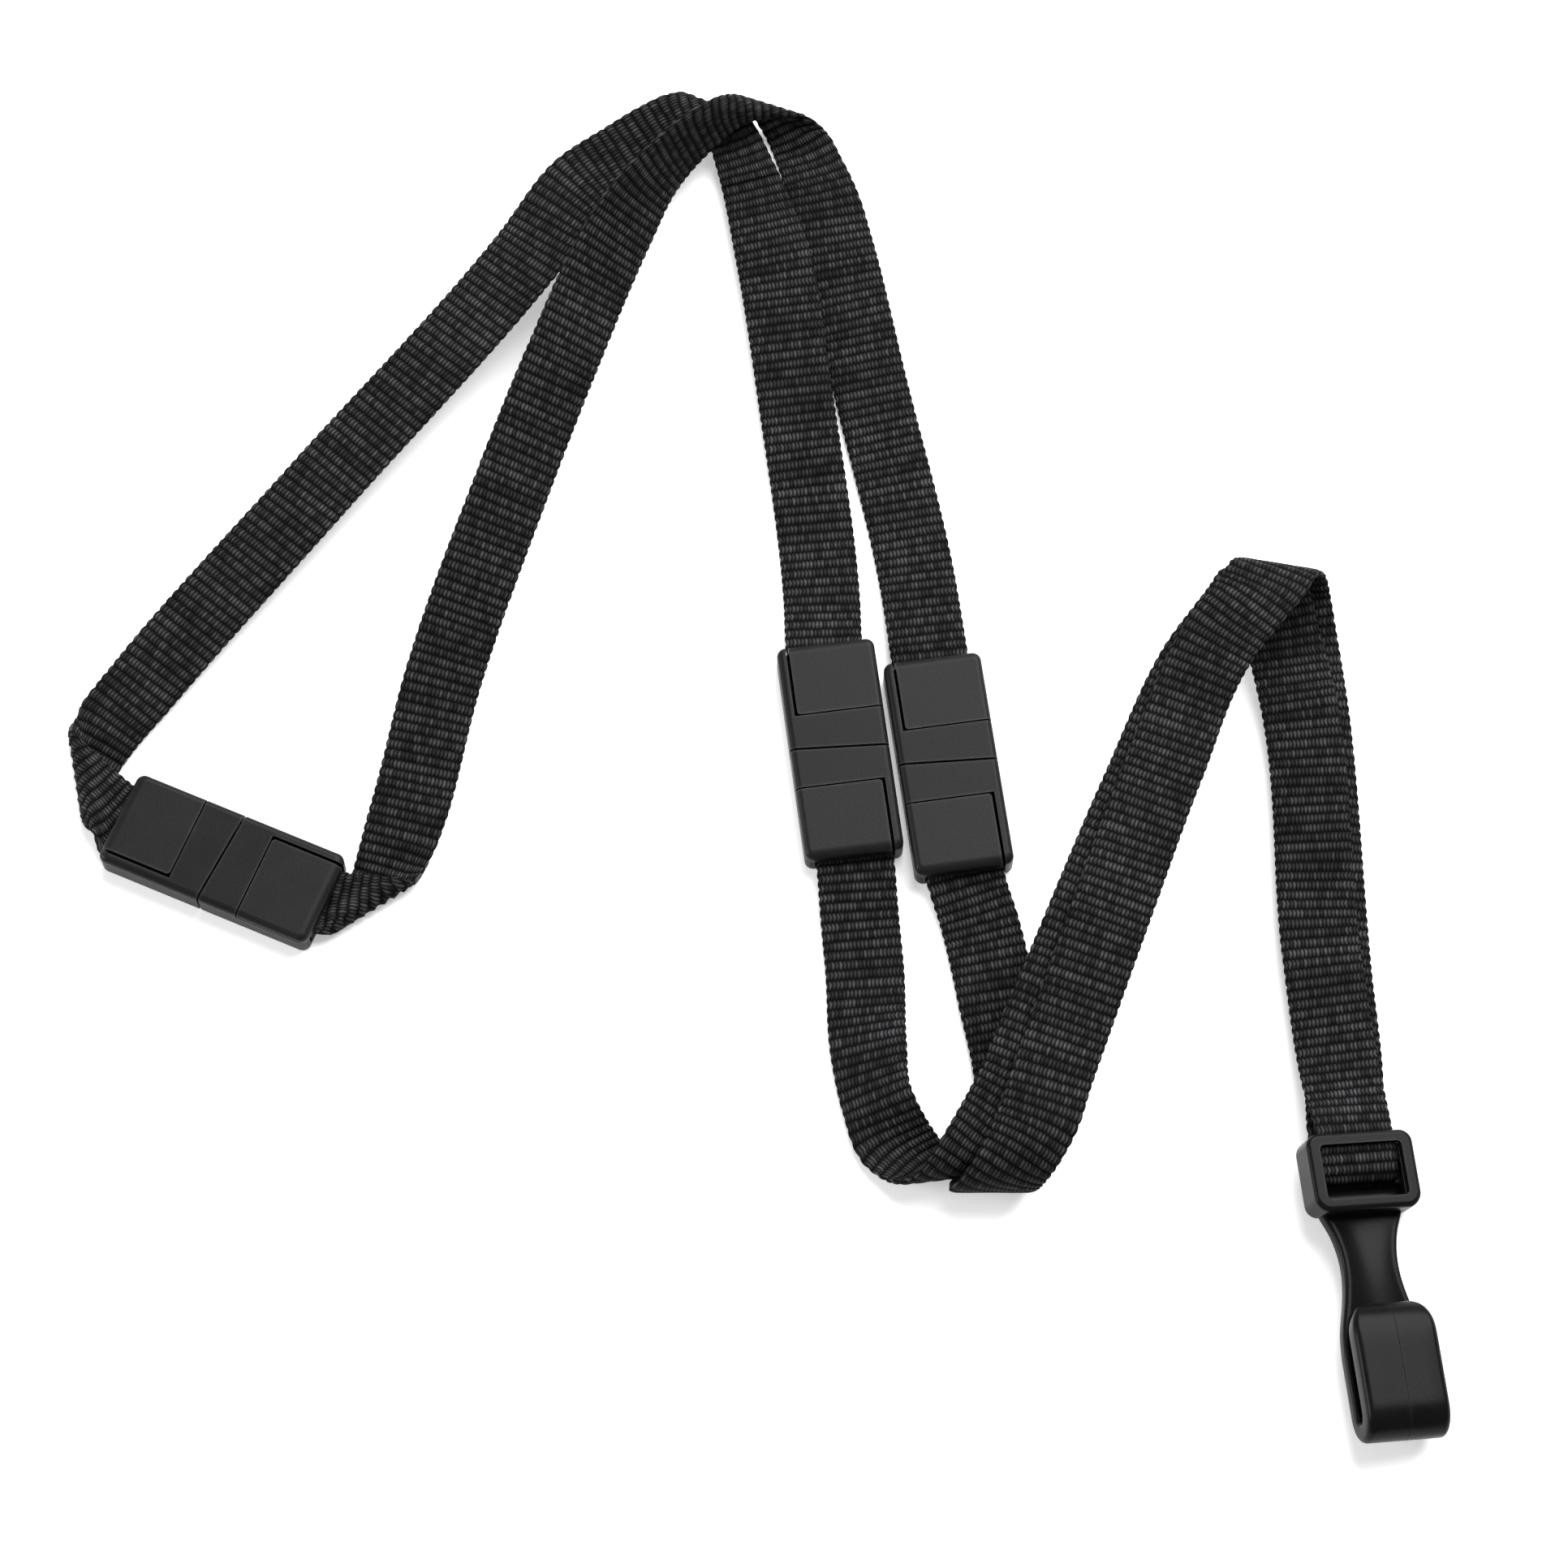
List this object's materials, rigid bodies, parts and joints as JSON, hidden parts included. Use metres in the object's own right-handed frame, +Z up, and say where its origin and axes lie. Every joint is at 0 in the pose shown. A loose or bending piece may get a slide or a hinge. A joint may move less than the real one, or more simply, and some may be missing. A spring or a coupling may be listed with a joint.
{
  "type": "neck lanyard",
  "caption": "Flat ribbed neck lanyard folded in a zigzag, with breakaway buckles, strap clamps and a moulded plastic J-hook for a badge holder.",
  "frame": {"origin": "centre of the footprint of the lanyard as it lies, on the surface it lies on", "axes": "+Z up from the surface, +Y away from the hook towards the top fold of the neck strap, +X towards the hook's side"},
  "size_m": [0.1749, 0.1862, 0.012],
  "materials": {
    "webbing": "ribbed woven polyester",
    "buckle_plastic": "fine matt moulded",
    "lid_plastic": "fine matt moulded",
    "hook_plastic": "satin moulded"
  },
  "bodies": {
    "frame": {"neck_socket": "buckle_plastic", "left_socket": "buckle_plastic", "right_socket": "buckle_plastic", "strap_upper_left": "webbing", "strap_upper_right": "webbing", "strap_lower_left": "webbing", "strap_lower_right": "webbing"},
    "neck_plug": {"neck_plug": "buckle_plastic"},
    "neck_plug_lid": {"neck_plug_lid": "lid_plastic"},
    "neck_socket_lid": {"neck_socket_lid": "lid_plastic"},
    "left_plug": {"left_plug": "buckle_plastic"},
    "left_plug_lid": {"left_plug_lid": "lid_plastic"},
    "left_socket_lid": {"left_socket_lid": "lid_plastic"},
    "right_plug": {"right_plug": "buckle_plastic"},
    "right_plug_lid": {"right_plug_lid": "lid_plastic"},
    "right_socket_lid": {"right_socket_lid": "lid_plastic"},
    "hook": {"hook_body": "hook_plastic", "hook_bend": "hook_plastic"},
    "tongue": {"hook_tongue": "hook_plastic"}
  },
  "joints": [
    {"name": "neck_pull", "type": "slide", "parent": "frame", "child": "neck_plug", "axis": [0.9205, -0.3907, 0], "range_m": [0, 0.009], "deforming": ["strap_upper_right"]},
    {"name": "neck_socket_clamp", "type": "hinge", "parent": "frame", "child": "neck_socket_lid", "pos_m": [-0.07287, -0.00781, 0.0036], "axis": [-0.9205, 0.3907, 0], "range_deg": [0, 95]},
    {"name": "neck_plug_clamp", "type": "hinge", "parent": "neck_plug", "child": "neck_plug_lid", "pos_m": [-0.05913, -0.02559, 0.0036], "axis": [0.9205, -0.3907, 0], "range_deg": [0, 95]},
    {"name": "left_pull", "type": "slide", "parent": "frame", "child": "left_plug", "axis": [-0.1305, 0.9914, 0], "range_m": [0, 0.009], "deforming": ["strap_upper_left"]},
    {"name": "left_socket_clamp", "type": "hinge", "parent": "frame", "child": "left_socket_lid", "pos_m": [0.00903, -0.01213, 0.0036], "axis": [0.1305, -0.9914, 0], "range_deg": [0, 95]},
    {"name": "left_plug_clamp", "type": "hinge", "parent": "left_plug", "child": "left_plug_lid", "pos_m": [0.01737, 0.00873, 0.0036], "axis": [-0.1305, 0.9914, 0], "range_deg": [0, 95]},
    {"name": "right_pull", "type": "slide", "parent": "frame", "child": "right_plug", "axis": [-0.1392, 0.9903, 0], "range_m": [0, 0.009], "deforming": ["strap_upper_right"]},
    {"name": "right_socket_clamp", "type": "hinge", "parent": "frame", "child": "right_socket_lid", "pos_m": [0.02312, -0.01417, 0.0036], "axis": [0.1392, -0.9903, 0], "range_deg": [0, 95]},
    {"name": "right_plug_clamp", "type": "hinge", "parent": "right_plug", "child": "right_plug_lid", "pos_m": [0.03128, 0.00677, 0.0036], "axis": [-0.1392, 0.9903, 0], "range_deg": [0, 95]},
    {"name": "hook_swing", "type": "hinge", "parent": "frame", "child": "hook", "pos_m": [0.07696, -0.05383, 0.0041], "axis": [-0.9709, -0.1192, 0.2079], "range_deg": [0, 60], "deforming": ["strap_lower_left", "strap_lower_right"]},
    {"name": "tongue_flex", "type": "hinge", "parent": "hook", "child": "tongue", "pos_m": [0.08154, -0.08904, 0.00527], "axis": [0.9709, 0.1192, -0.2079], "range_deg": [0, 12], "stiffness_Nm_per_rad": 0.2, "deforming": ["hook_bend"]}
  ]
}
